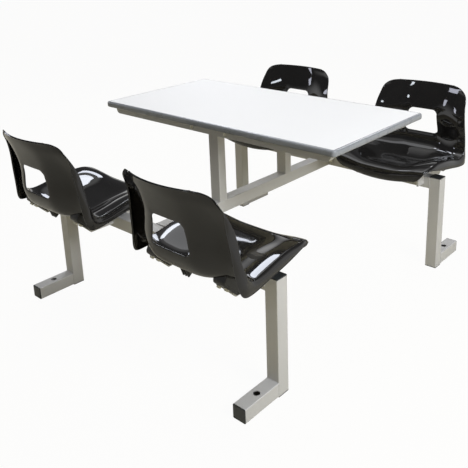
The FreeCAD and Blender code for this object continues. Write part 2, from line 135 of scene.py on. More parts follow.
class Finish(NodeMaker):
    # a procedural material that ends in one Principled shader
    def __init__(self, name, constants=None):
        self.material = bpy.data.materials.new(name)
        self.material.use_nodes = True
        super().__init__(self.material.node_tree)
        self.shader = self.node("ShaderNodeBsdfPrincipled", values=constants)
        self.node("ShaderNodeOutputMaterial", values={0: self.shader})
        self.place = self.node("ShaderNodeTexCoord", output="Object")

    def set(self, key, wire):
        self.feed(self.shader.socket.node.inputs[key], wire)

    def noise(self, scale, detail, roughness, vector=None):
        return self.node("ShaderNodeTexNoise", values={
            "Vector": vector or self.place, "Scale": scale, "Detail": detail,
            "Roughness": roughness})

    def ramp(self, wire, stops):
        return self.node("ShaderNodeValToRGB", {"stops": stops}, {0: wire})

    def tint(self, base, wire, depth):
        # the base colour made darker and lighter by a mask around one half
        low = [channel * (1 - depth) for channel in base] + [1]
        high = [channel * (1 + depth) for channel in base] + [1]
        return self.mixColour(wire, low, high)

    def bump(self, height, strength, distance, **under):
        return self.node("ShaderNodeBump", values={
            "Height": height, "Strength": strength, "Distance": distance, **under})


# In each look, cloud and grain are noises: scale, detail and roughness. Their shares say how much
# each of them changes the colour and the roughness, shade how far the colour wanders, and bump is
# a strength and a depth.
paintLook = {
    "colour": (0.45, 0.445, 0.44), "shade": 0.07,
    "roughness": 0.3, "metallic": 0.12,
    "cloud": (9, 3, 0.5), "cloudShares": (0.6, 0.08),
    "grain": (1400, 2, 0.6), "grainShares": (0.4, 0.12), "bump": (0.22, 0.4 * mm),
    "speck": (840, 1, 0.5), "speckEdges": [(0.62, 0), (0.72, 1)],
    "speckShare": 0.1, "speckColour": (0.8, 0.79, 0.75, 1),
}
laminateLook = {
    "colour": (0.70, 0.70, 0.705), "shade": 0.012,
    "roughness": 0.54, "specular": 0.25,
    "cloud": (4, 3, 0.5), "cloudShares": (0.7, 0.08),
    "grain": (2200, 2, 0.55), "grainShares": (0.3, 0.08), "bump": (0.08, 0.2 * mm),
}
edgingLook = {
    "colour": (0.185, 0.195, 0.21), "shade": 0.035,
    "roughness": 0.2, "specular": 0.9,
    "cloud": (14, 3, 0.5), "cloudShares": (0.6, 0.1),
    "grain": (1500, 2, 0.5), "grainShares": (0.4, 0.06), "bump": (0.1, 0.2 * mm),
}
blockLook = {
    "colour": (0.007, 0.007, 0.007), "shade": 0.22,
    "roughness": 0.26,
    "cloud": (30, 2, 0.5), "cloudShares": (0.5, 0.06),
    "grain": (900, 3, 0.6), "grainShares": (0.5, 0.14), "bump": (0.3, 0.2 * mm),
}
capLook = {
    "colour": (0.022, 0.024, 0.025), "shade": 0.22,
    "roughness": 0.2,
    "cloud": (30, 2, 0.5), "cloudShares": (0.5, 0.06),
    "grain": (1100, 3, 0.6), "grainShares": (0.5, 0.14), "bump": (0.16, 0.2 * mm),
}
zincLook = {
    "colour": (0.74, 0.72, 0.62), "shade": 0.14,
    "roughness": 0.18, "metallic": 0.45,
    "cloud": (160, 2, 0.5), "cloudShares": (1.0, 0.1),
    "grain": (700, 3, 0.5), "grainShares": (0.0, 0.16), "bump": (0.1, 0.1 * mm),
}
shellLook = {
    "colour": (0.0085, 0.008, 0.0078), "shade": 0.25,
    "roughness": 0.015,
    "haze": (26, 4, 0.6), "hazeRoughness": 0.04,
    "hairlines": (60, 2, 0.5), "hairlineRoughness": 0.02,
    "hairlineStretch": (14, 0.7, 3),
    "waves": (11, 1.5, 0.45), "waveBump": (0.55, 1.1 * mm),
    "skin": (420, 2, 0.5), "skinBump": (0.03, 0.1 * mm),
}


def grainFinish(name, look):
    # one colour under a fine grain and soft clouds, with light specks where the look has them
    made = Finish(name, {"Metallic": look.get("metallic", 0),
                         "Specular IOR Level": look.get("specular", 0.5)})
    cloud = made.noise(*look["cloud"])
    grain = made.noise(*look["grain"])
    cloudTint, cloudRoughness = look["cloudShares"]
    grainTint, grainRoughness = look["grainShares"]
    shade = made.tint(look["colour"], cloud * cloudTint + grain * grainTint, look["shade"])
    if "speck" in look:
        speck = made.ramp(made.noise(*look["speck"]), look["speckEdges"])
        shade = made.mixColour(speck * look["speckShare"], shade, look["speckColour"])
    made.set("Base Color", shade)
    made.set("Roughness", cloud * cloudRoughness + grain * grainRoughness + look["roughness"])
    made.set("Normal", made.bump(grain, *look["bump"]))
    return made.material


def shellFinish():
    # gloss with slow waves under a fine skin, and faint hairlines from wiping
    made = Finish("glossShell")
    haze = made.noise(*shellLook["haze"])
    stretched = made.scaled(made.place, shellLook["hairlineStretch"])
    hairlines = made.noise(*shellLook["hairlines"], stretched)
    made.set("Base Color", made.tint(shellLook["colour"], haze, shellLook["shade"]))
    made.set("Roughness", haze * shellLook["hazeRoughness"]
             + hairlines * shellLook["hairlineRoughness"] + shellLook["roughness"])
    ripple = made.bump(made.noise(*shellLook["waves"]), *shellLook["waveBump"])
    skin = made.noise(*shellLook["skin"])
    made.set("Normal", made.bump(skin, *shellLook["skinBump"], Normal=ripple))
    return made.material


finishes = {
    "frame_paint": grainFinish("framePaint", paintLook),
    "white_laminate": grainFinish("whiteLaminate", laminateLook),
    "grey_edging": grainFinish("greyEdging", edgingLook),
    "black_shell": shellFinish(),
    "black_block": grainFinish("mouldedBlock", blockLook),
    "black_cap": grainFinish("mouldedCap", capLook),
    "zinc": grainFinish("zincPlate", zincLook),
}
slotOfNode = {part["node"]: part["material_slot"] for part in frame["record"]["subparts"]}
for nodeName, nodeObject in frame["nodes"].items():
    nodeObject.data.materials.clear()
    nodeObject.data.materials.append(finishes[slotOfNode[nodeName]])
print("finishes:", len(finishes))


class ShapeTree(NodeMaker):
    # a geometry node tree with named sizes, which turns a carrier mesh into a finished one
    def __init__(self, name, sizes, finish):
        super().__init__(bpy.data.node_groups.new(name, "GeometryNodeTree"))
        face = self.tree.interface
        face.new_socket("Geometry", in_out="INPUT", socket_type="NodeSocketGeometry")
        self.sizes = sizes
        self.keys = {}
        for label, value in sizes.items():
            kind = "NodeSocketInt" if isinstance(value, int) else "NodeSocketFloat"
            self.keys[label] = face.new_socket(label, in_out="INPUT", socket_type=kind).identifier
        face.new_socket("Geometry", in_out="OUTPUT", socket_type="NodeSocketGeometry")
        self.carrier = self.node("NodeGroupInput")
        self.finish = finish

    def size(self, label):
        return Wire(self, self.carrier.socket.node.outputs[label])

    def moved(self, geometry, x, y, z):
        return self.node("GeometryNodeTransform", values={
            "Geometry": geometry, "Translation": self.spread(x, y, z)})

    def cylinder(self, sides, radius, depth, middle):
        # a closed cylinder along z whose middle is at this height
        solid = self.node("GeometryNodeMeshCylinder", values={
            "Vertices": sides, "Radius": radius, "Depth": depth})
        return self.moved(solid, 0.0, 0.0, middle)

    def joined(self, *parts):
        join = self.node("GeometryNodeJoinGeometry")
        for part in parts:
            self.feed(join.socket.node.inputs[0], part)
        return join

    def close(self, geometry):
        real = self.node("GeometryNodeRealizeInstances", values={0: geometry})
        done = self.node("GeometryNodeSetMaterial", values={
            "Geometry": real, "Material": self.finish})
        self.node("NodeGroupOutput", values={0: done})
        return self

    def build(self, mesh):
        carrier = placed("carrier", mesh)
        modifier = carrier.modifiers.new("shape", "NODES")
        modifier.node_group = self.tree
        for label, value in self.sizes.items():
            modifier[self.keys[label]] = value
        return baked(carrier)


def placed(name, data):
    made = bpy.data.objects.new(name, data)
    scene.collection.objects.link(made)
    return made


def baked(carrier):
    # the plain mesh that the object's modifiers give; the object goes
    state = carrier.evaluated_get(bpy.context.evaluated_depsgraph_get())
    made = bpy.data.meshes.new_from_object(state)
    carrier.modifiers.clear()
    bpy.data.objects.remove(carrier)
    return made


# an edge that turns by more degrees than this stays sharp
creases = {"block": 32, "bolt": 35, "edging": 40, "cap": 50, "weld": 60}


def addPiece(name, mesh, slotName, nodeNames=(), creaseAngle=None):
    mesh.polygons.foreach_set("use_smooth", [True] * len(mesh.polygons))
    if creaseAngle:
        mesh.set_sharp_from_angle(angle=math.radians(creaseAngle))
    if not mesh.materials:
        mesh.materials.append(finishes[slotName])
    piece = placed(name, mesh)
    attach(piece, "root")
    if nodeNames:
        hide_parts(*nodeNames)
    return piece


def meshOf(name, points, faces=(), edges=()):
    mesh = bpy.data.meshes.new(name)
    mesh.from_pydata([tuple(p) for p in points], edges, faces)
    mesh.validate()
    mesh.update()
    return mesh


def meshFrom(work, name):
    mesh = bpy.data.meshes.new(name)
    work.to_mesh(mesh)
    work.free()
    return mesh


def movedCopy(name, mesh, matrix, mirrored=False):
    copy = mesh.copy()
    copy.name = name
    if mirrored:
        copy.transform(Matrix.Scale(-1, 4, (1, 0, 0)))
        copy.flip_normals()
    copy.transform(matrix)
    return copy


def ringFaces(rings):
    # faces between closed rings of point numbers
    faces = []
    for first, second in zip(rings, rings[1:]):
        for k in range(len(first)):
            n = (k + 1) % len(first)
            faces.append((first[k], first[n], second[n], second[k]))
    return faces


def loopRound(low, top, left, right):
    # round a rectangle of a grid, each corner of its cells as (line, place on the line)
    loop = [(low, k) for k in range(left, right)] + [(i, right) for i in range(low, top)]
    loop += [(top, k) for k in range(right, left, -1)]
    return loop + [(i, left) for i in range(top, low, -1)]


# A station is one line across the shell, in millimetres: from the front lip over the pan to the
# top of the back. Seat frame: x across, y away from the table from the beam's middle, z up.
# middle (y, z), fold (y, z, x), free edge of the lip (y, z, x), how flat the middle stays
shellStations = [
    ((-158, 410), (-156, 430, 165), (-157, 429, 169), 0.0),
    ((-168, 434), (-161, 456, 196), (-160, 450, 200), 0.2),
    ((-161, 456), (-155, 475, 208), (-155, 467, 212), 0.4),
    ((-136, 468), (-131, 489, 218), (-131, 477, 225), 0.6),
    ((-60, 458), (-62, 496, 226), (-60, 466, 234), 0.75),
    ((0, 449), (0, 491, 228), (0, 453, 236), 0.75),
    ((60, 440), (60, 480, 230), (60, 443, 238), 0.75),
    ((115, 437), (108, 471, 232), (112, 434, 240), 0.75),
    ((165, 448), (142, 470, 238), (158, 430, 242), 0.75),
    ((202, 462), (160, 481, 242), (188, 438, 239), 0.75),
    ((224, 487), (172, 504, 243), (200, 482, 229), 0.75),
    ((235, 522), (182, 534, 239), (205, 528, 222), 0.75),
    ((237, 590), (187, 590, 231), (211, 590, 216), 0.75),
    ((247, 650), (199, 650, 222), (217, 650, 209), 0.6),
    ((264, 702), (222, 702, 210), (227, 701, 210), 0.4),
    ((274, 726), (233, 725, 200), (237, 724, 203), 0.25),
    ((281, 743), (241, 743, 184), (243, 741, 188), 0.12),
    ((285, 754), (254, 754, 160), (254, 753, 164), 0.05),
    ((287, 758), (267, 758, 128), (266, 758, 132), 0.0),
]
seatPlan = {
    "seatCentre": 365 * mm,
    "beamCentre": 545 * mm,
    "wall": 5 * mm,
    "lipWall": 3.2 * mm,
    "rowsAlong": 132,
    "halfAcross": 48,
    "lipAcross": 12,
    "foldBias": 1.3,            # above one, the lines across crowd towards the fold
    "foldPasses": 2,            # how often the fold's sharp corner is averaged
    "frontPasses": 30,          # the same at the front, where the fold runs out
    "frontReach": 60 * mm,
    "foldWidth": 4,             # lines averaged on each side of the fold
    "bead": 3.6 * mm,           # radius of the bead just inside the outer edge
    "beadFade": 10,             # mesh lines over which it gets thinner towards a corner
    "acrossSteps": (0.2, 0.4, 0.55, 0.7, 0.82, 0.92, 1.0),
    "lipSteps": (0.35, 0.7, 1.0),
    "flatTo": 0.3,              # a flat station rises smoothly from here to the fold
    "flatSpan": 0.6,
    "lipBulge": 0.1,            # share of the lip's depth
    "holeTop": 637 * mm,
    "holeBottom": 530 * mm,
    "holeTopHalf": 68 * mm,
    "holeBottomHalf": 82 * mm,
    "holeRadius": 20 * mm,
    "holeReach": 38 * mm,       # how far the mesh lines bend round the hole
    "rimBend": 2.5 * mm,        # radius of the rounded edge round the hole
    "beadAngles": (30, 60, 90, 120, 150),
    "rimAngles": (22.5, 45, 67.5, 90, 112.5, 135, 157.5),
    "frontRows": 20,            # mesh lines of the front lip, before the lowest line of the bend
    "backDepth": 60 * mm,       # what lies further from the hole towards the sitter is pan
    "panHeight": 500 * mm,      # all of the pan is lower than this
}


def smooth(share):
    return share * share * (3 - 2 * share)


def rise(step, flatness):
    ramp = min(max((step - seatPlan["flatTo"]) / seatPlan["flatSpan"], 0), 1)
    return flatness * smooth(ramp) + (1 - flatness) * step * step


def stationPoints(station):
    # one station from its left free edge to its right free edge
    middle, fold, free, flatness = station
    centre = Vector((0, middle[0], middle[1]))
    crease = Vector((fold[2], fold[0], fold[1]))
    edge = Vector((free[2], free[0], free[1]))
    right = []
    for step in seatPlan["acrossSteps"]:
        share = rise(step, flatness)
        right.append(Vector((step * crease.x, centre.y + (crease.y - centre.y) * share,
                             centre.z + (crease.z - centre.z) * share)))
    bulge = seatPlan["lipBulge"] * (edge - crease).length
    for step in seatPlan["lipSteps"]:
        outward = Vector((bulge * 4 * step * (1 - step), 0, 0))
        right.append(crease.lerp(edge, step) + outward)
    left = [Vector((-p.x, p.y, p.z)) for p in reversed(right)]
    return [p * mm for p in left + [centre] + right]


def splineThrough(places, rows, reads):
    # natural cubic spline through rows of numbers, read at other places
    gaps = np.diff(places)
    count = len(places)
    system = np.eye(count)
    loads = np.zeros_like(rows)
    for k in range(1, count - 1):
        system[k, k - 1:k + 2] = gaps[k - 1], 2 * (gaps[k - 1] + gaps[k]), gaps[k]
        loads[k] = 6 * ((rows[k + 1] - rows[k]) / gaps[k] - (rows[k] - rows[k - 1]) / gaps[k - 1])
    bends = np.linalg.solve(system, loads)
    span = np.clip(np.searchsorted(places, reads, side="right") - 1, 0, count - 2)
    gap = gaps[span][:, None]
    far = ((reads - places[span]) / gaps[span])[:, None]
    near = 1 - far
    curve = (near ** 3 - near) * bends[span] + (far ** 3 - far) * bends[span + 1]
    return near * rows[span] + far * rows[span + 1] + curve * gap * gap / 6


def meanSteps(grid):
    # places of the grid's lines, spaced by their mean distance
    steps = np.linalg.norm(np.diff(grid, axis=0), axis=2).mean(axis=1)
    return np.concatenate([[0], np.cumsum(steps)])


def resample(grid, reads):
    count, wide, _ = grid.shape
    places = meanSteps(grid)
    made = splineThrough(places, grid.reshape(count, wide * 3), places[-1] * reads)
    return made.reshape(-1, wide, 3)


def sittingSurface():
    # fine grid of the surface that faces the sitter, lines along by lines across;
    # the pan and the two lips are curves of their own, which meet in a crisp fold
    grid = np.array([[tuple(p) for p in stationPoints(s)] for s in shellStations])
    grid = resample(grid, np.linspace(0, 1, seatPlan["rowsAlong"] + 1))
    across = grid.transpose(1, 0, 2)
    lips = len(seatPlan["lipSteps"])
    lipReads = np.linspace(0, 1, seatPlan["lipAcross"] + 1)
    half = 0.5 * np.linspace(0, 1, seatPlan["halfAcross"] + 1) ** seatPlan["foldBias"]
    pan = resample(across[lips:-lips], np.concatenate([half, 1 - half[-2::-1]]))
    left = resample(across[:lips + 1], lipReads)
    right = resample(across[-lips - 1:], lipReads)
    lines = np.concatenate([left, pan[1:-1], right])
    fold = seatPlan["lipAcross"]
    front = lines[:, :, 1].min()
    for smoothing in range(seatPlan["frontPasses"]):
        # after the first passes only the lines near the front go on
        reach = seatPlan["frontReach"] * (1 - smoothing / seatPlan["frontPasses"])
        rows = slice(None) if smoothing < seatPlan["foldPasses"] else np.nonzero(
            (lines[fold, :, 1] < front + reach) & (lines[fold, :, 2] < seatPlan["panHeight"]))[0]
        for line in (fold, len(lines) - 1 - fold):
            near, far = line - seatPlan["foldWidth"], line + seatPlan["foldWidth"]
            band = lines[near - 1:far + 2][:, rows]
            lines[near:far + 1, rows] = (band[:-2] + 2 * band[1:-1] + band[2:]) / 4
    return lines.transpose(1, 0, 2)


def wallGrid(grid):
    # the wall's thickness at every point of the grid, thinner along the lips
    line = np.arange(grid.shape[1])
    fromLip = np.minimum(line, line[::-1]) - seatPlan["lipAcross"]
    share = np.clip(fromLip / seatPlan["lipAcross"], 0, 1)
    walls = seatPlan["lipWall"] + (seatPlan["wall"] - seatPlan["lipWall"]) * share
    return np.broadcast_to(walls[None, :, None], grid.shape[:2] + (1,))


def gridNormals(grid):
    # unit normals that point away from the sitter
    along = np.gradient(grid, axis=0)
    across = np.gradient(grid, axis=1)
    normals = np.cross(along, across)
    return normals / np.linalg.norm(normals, axis=2)[:, :, None]


def holeFrame():
    # bottom, top, and half the width at the bottom and at the top, with the bend of the rim
    bend = seatPlan["rimBend"]
    return (seatPlan["holeBottom"] - bend, seatPlan["holeTop"] + bend,
            seatPlan["holeBottomHalf"] + bend, seatPlan["holeTopHalf"] + bend)


def holeEdge(x, z):
    # a point of the straight frame round the hole, moved onto its rounded outline
    bottom, top, bottomHalf, topHalf = holeFrame()
    half = bottomHalf + (topHalf - bottomHalf) * (z - bottom) / (top - bottom)
    spot = Vector((x * half * 2 / (topHalf + bottomHalf), z))
    radius = seatPlan["holeRadius"] + seatPlan["rimBend"]
    centre = Vector((math.copysign(half - radius, x), min(max(z, bottom + radius), top - radius)))
    if abs(spot.x) > half - radius and abs(spot.y - centre.y) > 0:
        spot = centre + (spot - centre).normalized() * radius
    return spot


def bendRoundHole(grid, rows, columns):
    # move the mesh lines so that the block of cells left out has the hole's rounded outline
    middle = grid.shape[1] // 2
    low, high = grid[rows[0], middle, 2], grid[rows[1], middle, 2]
    half = grid[(rows[0] + rows[1]) // 2, columns[1], 0]
    bottom, top, bottomHalf, topHalf = holeFrame()
    meanHalf = (bottomHalf + topHalf) / 2
    nearest = grid[rows[0], columns[0], 1] - seatPlan["backDepth"]
    along = np.gradient(grid, axis=0)
    across = np.gradient(grid, axis=1)
    moved = grid.copy()
    for i in range(grid.shape[0]):
        for k in range(grid.shape[1]):
            x, y, z = grid[i, k]
            nearX, nearZ = min(max(x, -half), half), min(max(z, low), high)
            distance = math.hypot(x - nearX, z - nearZ)
            if distance > seatPlan["holeReach"] or y < nearest:
                continue
            frameZ = bottom + (top - bottom) * (nearZ - low) / (high - low)
            wanted = holeEdge(nearX * meanHalf / half, frameZ)
            fade = smooth(1 - distance / seatPlan["holeReach"])
            moved[i, k] += across[i, k] * (wanted.x - nearX) * fade / across[i, k, 0]
            moved[i, k] += along[i, k] * (wanted.y - nearZ) * fade / along[i, k, 2]
    return moved


def beadRadius(steps):
    # the bead gets thinner towards the grid's corners, this many mesh lines away
    share = min(steps / seatPlan["beadFade"], 1)
    return seatPlan["lipWall"] / 2 + (seatPlan["bead"] - seatPlan["lipWall"] / 2) * share


def nearestLine(values, wanted):
    return int(np.argmin(abs(values - wanted)))


def shellMesh():
    grid = sittingSurface()
    heights = grid[:, grid.shape[1] // 2, 2]
    skipped = seatPlan["frontRows"]
    back = int(np.argmin(heights[skipped:])) + skipped
    bottom, top, bottomHalf, topHalf = holeFrame()
    rows = [back + nearestLine(heights[back:], height) for height in (bottom, top)]
    lineX = grid[(rows[0] + rows[1]) // 2, :, 0]
    columns = [nearestLine(lineX, sign * (bottomHalf + topHalf) / 2) for sign in (-1, 1)]
    grid = bendRoundHole(grid, rows, columns)
    normals = gridNormals(grid)
    walls = wallGrid(grid)
    high, wide = grid.shape[:2]
    points, faces = [], []

    def addPoint(place):
        points.append(place)
        return len(points) - 1

    behind = grid + normals * walls
    front, rear = ([[addPoint(spot) for spot in line] for line in face] for face in (grid, behind))
    for i in range(high - 1):
        for k in range(wide - 1):
            if rows[0] <= i < rows[1] and columns[0] <= k < columns[1]:
                continue
            faces.append((front[i][k], front[i][k + 1], front[i + 1][k + 1], front[i + 1][k]))
            faces.append((rear[i][k], rear[i + 1][k], rear[i + 1][k + 1], rear[i][k + 1]))

    def roundedEdge(loop, angles, span, sizesAt):
        # rings of points from the front face to the rear face, on the loop's inner side
        rings = [[front[i][k] for i, k in loop]]
        for swing in np.radians(angles):
            ring = []
            for n, (i, k) in enumerate(loop):
                tangent = grid[loop[(n + span) % len(loop)]] - grid[loop[n - span]]
                inward = np.cross(tangent, normals[i, k])
                inward /= np.linalg.norm(inward)
                reach, drop = sizesAt(i, k)
                depth = walls[i, k] / 2 - drop * math.cos(swing)
                ring.append(addPoint(grid[i, k] + normals[i, k] * depth
                                     + inward * reach * math.sin(swing)))
            rings.append(ring)
        return rings + [[rear[i][k] for i, k in loop]]

    def beadAt(i, k):
        return [beadRadius(min(i, high - 1 - i) + min(k, wide - 1 - k))] * 2

    def rimAt(i, k):
        return seatPlan["rimBend"], walls[i, k] / 2

    border = loopRound(0, high - 1, 0, wide - 1)
    outer = roundedEdge(border, seatPlan["beadAngles"], 2, beadAt)
    inner = roundedEdge(loopRound(*rows, *columns), seatPlan["rimAngles"], 1, rimAt)
    faces += ringFaces([ring[::-1] for ring in outer]) + ringFaces(inner)
    return meshOf("seatShell", points, faces)


def outwardOf(row):
    # away from the table, along y
    return 1 if row == "rear" else -1


def seatMiddle(row, side):
    x = seatPlan["seatCentre"] * (1 if side == "right" else -1)
    return x, seatPlan["beamCentre"] * outwardOf(row)


def seatMatrix(row, side):
    # from the seat's own frame to the whole table's; the front row is turned half round
    turn = Matrix.Rotation(0 if row == "rear" else math.pi, 4, "Z")
    return Matrix.Translation((*seatMiddle(row, side), 0)) @ turn


corners = [(row, side) for row in ("front", "rear") for side in ("left", "right")]
shellShape = shellMesh()
for row, side in corners:
    name = "%s_%s_seat_shell" % (row, side)
    mesh = movedCopy(name, shellShape, seatMatrix(row, side))
    addPiece(name + "_moulding", mesh, "black_shell", [name])
print("seat shells:", len(shellShape.polygons), "faces each")

slabPlan = {"edgeSteps": 3, "flatSide": 0.9}    # a side whose normal is this much along x is flat
ribPlan = {"Count": 3, "Spacing": 11 * mm}
ribSizes = {"thickness": 4 * mm, "edge": 0.4 * mm}
# (y, z) corners in millimetres: the rib's hidden upper edge, its pointed end and its two roots
ribOutline = ((152, 442), (148, 440), (164, 434), (180, 421.5), (184, 421.5), (190, 438),
              (197, 456.5), (175, 448.5))


def ribTree():
    # copies of the carrier's rib, side by side across the seat
    tree = ShapeTree("shellRibs", ribPlan, finishes["black_block"])
    start = tree.spread(tree.size("Spacing") * (tree.size("Count") - 1.0) * -0.5, 0.0, 0.0)
    step = tree.spread(tree.size("Spacing"), 0.0, 0.0)
    row = tree.node("GeometryNodeMeshLine", values={
        "Count": tree.size("Count"), "Start Location": start, "Offset": step})
    placed = tree.node("GeometryNodeInstanceOnPoints", values={
        "Points": row, "Instance": tree.carrier})
    return tree.close(placed)


def slabMesh(name, outline, width, middleX, edge, panel=None):
    # a flat outline of (y, z) corners made width thick, with its edges rounded; panel is the frame
    # left round a shallow recess on both sides, the recess's slope and its depth
    work = bmesh.new()
    verts = [work.verts.new((middleX - width / 2, y * mm, z * mm)) for y, z in outline]
    grown = bmesh.ops.extrude_face_region(work, geom=[work.faces.new(verts)])["geom"]
    bmesh.ops.translate(work, verts=[g for g in grown if isinstance(g, bmesh.types.BMVert)],
                        vec=(width, 0, 0))
    bmesh.ops.recalc_face_normals(work, faces=work.faces)
    rims = list(work.edges)
    if panel:
        border, slope, depth = panel
        sides = [f for f in work.faces if abs(f.normal.x) > slabPlan["flatSide"]]
        bmesh.ops.inset_individual(work, faces=sides, thickness=border, depth=0)
        bmesh.ops.inset_individual(work, faces=sides, thickness=slope, depth=-depth)
    bmesh.ops.bevel(work, geom=rims, offset=edge, segments=slabPlan["edgeSteps"], profile=0.5,
                    affect="EDGES", clamp_overlap=True)
    return meshFrom(work, name)


seatBoltPlan = {
    "out": 176 * mm,            # from the beam's middle
    "height": 432 * mm,
    "arm": 150 * mm,            # from the seat's middle to each arm
    "spread": 15 * mm,          # from the arm to each bolt
    "lean": 0.7071,             # the bolts point down and outwards at half a right angle
}
blockPlan = {
    "width": 46 * mm,
    "runnerWidth": 24 * mm,
    "edge": 1.8 * mm,
    "runnerEdge": 1.08 * mm,
    "panel": (6 * mm, 0.8 * mm, 1.6 * mm),
    "bossRadius": 10.5 * mm,    # round seats under the bolt heads
    "bossDepth": 3 * mm,
    "bossSides": 28,
    "sink": 0.5,                # how far into the shell's wall the block reaches, as a share
    "raise": 75 * mm,           # how thick the cut above it is
    "cutFrom": -110 * mm,       # y where the cut starts in the pan
    "cutTo": 580 * mm,          # z where it ends in the back
    "slot": 8.4 * mm,
    "slotEdge": 0.1 * mm,
}
# (y, z) corners in the seat's frame, millimetres
blockOutline = ((90, 500), (90, 434), (93, 427), (118, 401), (124, 397.5), (138, 397.5), (143, 400),
                (190, 447), (193, 452), (193, 460), (172, 500))
runnerOutline = ((-75, 440), (-71, 436.3), (95, 436.3), (95, 500), (-75, 500))
armSlot = ((-80, 380), (127, 380), (172, 425), (172, 427), (152, 440.3), (110, 436.3), (-80, 436.3))


def booleanMesh(name, base, tools, operation):
    # the base joined with or cut by closed meshes
    carrier = placed(name, base)
    helpers = [placed("tool", tool) for tool in tools]
    for helper in helpers:
        step = carrier.modifiers.new("step", "BOOLEAN")
        step.operation = operation
        step.object = helper
        step.solver = "EXACT"
    made = baked(carrier)
    for helper in helpers:
        bpy.data.objects.remove(helper)
    made.name = name
    return made


def bossMesh(start, axis):
    work = bmesh.new()
    length, radius = blockPlan["bossDepth"], blockPlan["bossRadius"]
    turn = Vector(axis).to_track_quat("Z", "Y").to_matrix().to_4x4()
    place = Matrix.Translation(start) @ turn @ Matrix.Translation((0, 0, length / 2))
    bmesh.ops.create_cone(work, cap_ends=True, segments=blockPlan["bossSides"], radius1=radius,
                          radius2=radius, depth=length, matrix=place)
    return meshFrom(work, "bossSeat")


def aboveWall(grid, normals):
    # everything on the sitter's side of the middle of the shell's wall, over one arm
    wall = grid + normals * wallGrid(grid) * blockPlan["sink"]
    fromArm = abs(wall[len(wall) // 3, :, 0] - seatBoltPlan["arm"])
    keep = np.nonzero(fromArm < blockPlan["width"])[0]
    line = wall[:, keep[0]]
    rows = np.nonzero((line[:, 1] > blockPlan["cutFrom"]) & (line[:, 2] < blockPlan["cutTo"]))[0]
    patch = wall[rows[0]:rows[-1] + 1, keep[0]:keep[-1] + 1]
    high, wide = patch.shape[:2]
    lift = np.array((0, -blockPlan["raise"], blockPlan["raise"]))
    points = np.concatenate([patch.reshape(-1, 3), (patch + lift).reshape(-1, 3)])
    faces, shift = [], high * wide
    for i in range(high - 1):
        for k in range(wide - 1):
            a, d = i * wide + k, (i + 1) * wide + k
            faces += [(a, d, d + 1, a + 1),
                      (a + shift, a + 1 + shift, d + 1 + shift, d + shift)]
    border = [i * wide + k for i, k in loopRound(0, high - 1, 0, wide - 1)]
    faces += ringFaces([border, [corner + shift for corner in border]])
    work = bmesh.new()
    work.from_mesh(meshOf("patch", points, faces))
    bmesh.ops.recalc_face_normals(work, faces=work.faces)
    return meshFrom(work, "aboveWall")


def blockMesh():
    # moulded block and runner of one arm, on the seat's +x side
    plan, arm = blockPlan, seatBoltPlan["arm"]
    body = slabMesh("seatBlock", blockOutline, plan["width"], arm, plan["edge"], plan["panel"])
    runner = slabMesh("seatRunner", runnerOutline, plan["runnerWidth"], arm, plan["runnerEdge"])
    aim = Vector((0, seatBoltPlan["lean"], -seatBoltPlan["lean"]))
    bosses = []
    for sign in (-1, 1):
        spot = Vector((arm + sign * seatBoltPlan["spread"], seatBoltPlan["out"],
                       seatBoltPlan["height"]))
        bosses.append(bossMesh(spot - aim * plan["bossDepth"], aim))
    joined = booleanMesh("seatBlock", body, [runner] + bosses, "UNION")
    slot = slabMesh("armSlot", armSlot, plan["slot"], arm, plan["slotEdge"])
    grid = sittingSurface()
    above = aboveWall(grid, gridNormals(grid))
    return booleanMesh("seatBlock", joined, [above, slot], "DIFFERENCE")


blockShape = blockMesh()
ribMesh = slabMesh("shellRib", ribOutline, ribSizes["thickness"], 0.0, ribSizes["edge"])
ribShape = ribTree().build(ribMesh)
for row, side in corners:
    seat = "%s_%s" % (row, side)
    place = seatMatrix(row, side)
    for arm in ("inner", "outer"):
        name = "%s_%s_seat_block" % (seat, arm)
        # a block on the seat's own -x side is the mirror image
        towardsRight = (arm == "outer") == (side == "right")
        mirrored = towardsRight != (row == "rear")
        shape = movedCopy(name, blockShape, place, mirrored)
        addPiece(name + "_moulding", shape, "black_block", [name], creases["block"])
    shape = movedCopy(seat + "_ribs", ribShape, place)
    addPiece(seat + "_shell_ribs", shape, "black_block", (), creases["block"])
print("seat blocks:", len(blockShape.polygons), "faces each")


# Everything below the board that isn't in this dictionary comes from the frame's own boxes.
frameSizes = {
    "tube": 50 * mm,
    "wall": 2.5 * mm,
    "corner": 3 * mm,
    "plugDepth": 15 * mm,
    "plugTaper": 0.5 * mm,
    "plugLead": 1 * mm,         # the plug's untapered part
    "innerCorner": 0.6,         # a plug's and a weld's corner, as a share of the tube's
    "cornerSteps": 5,
    "capRound": 1.6 * mm,       # rounding of a cap's upper edge
    "capAngles": (30, 60, 90),
    "capDome": 0.5 * mm,
    # height as a share of the dome, then half width and corner as shares of the cap's
    "domeLevels": ((0.5, 0.75, 1.0), (1.0, 0.35, 0.8)),
    "weldInset": 0.4 * mm,
}


def roundedSquare(half, radius):
    # a square outline with round corners, counter-clockwise
    points = []
    steps = frameSizes["cornerSteps"]
    for quarter in range(4):
        for step in range(steps + 1):
            angle = math.radians(90 * (quarter + step / steps))
            cornerX = (half - radius) * (1 if quarter in (0, 3) else -1)
            cornerY = (half - radius) * (1 if quarter in (0, 1) else -1)
            points.append((cornerX + radius * math.cos(angle), cornerY + radius * math.sin(angle)))
    return points


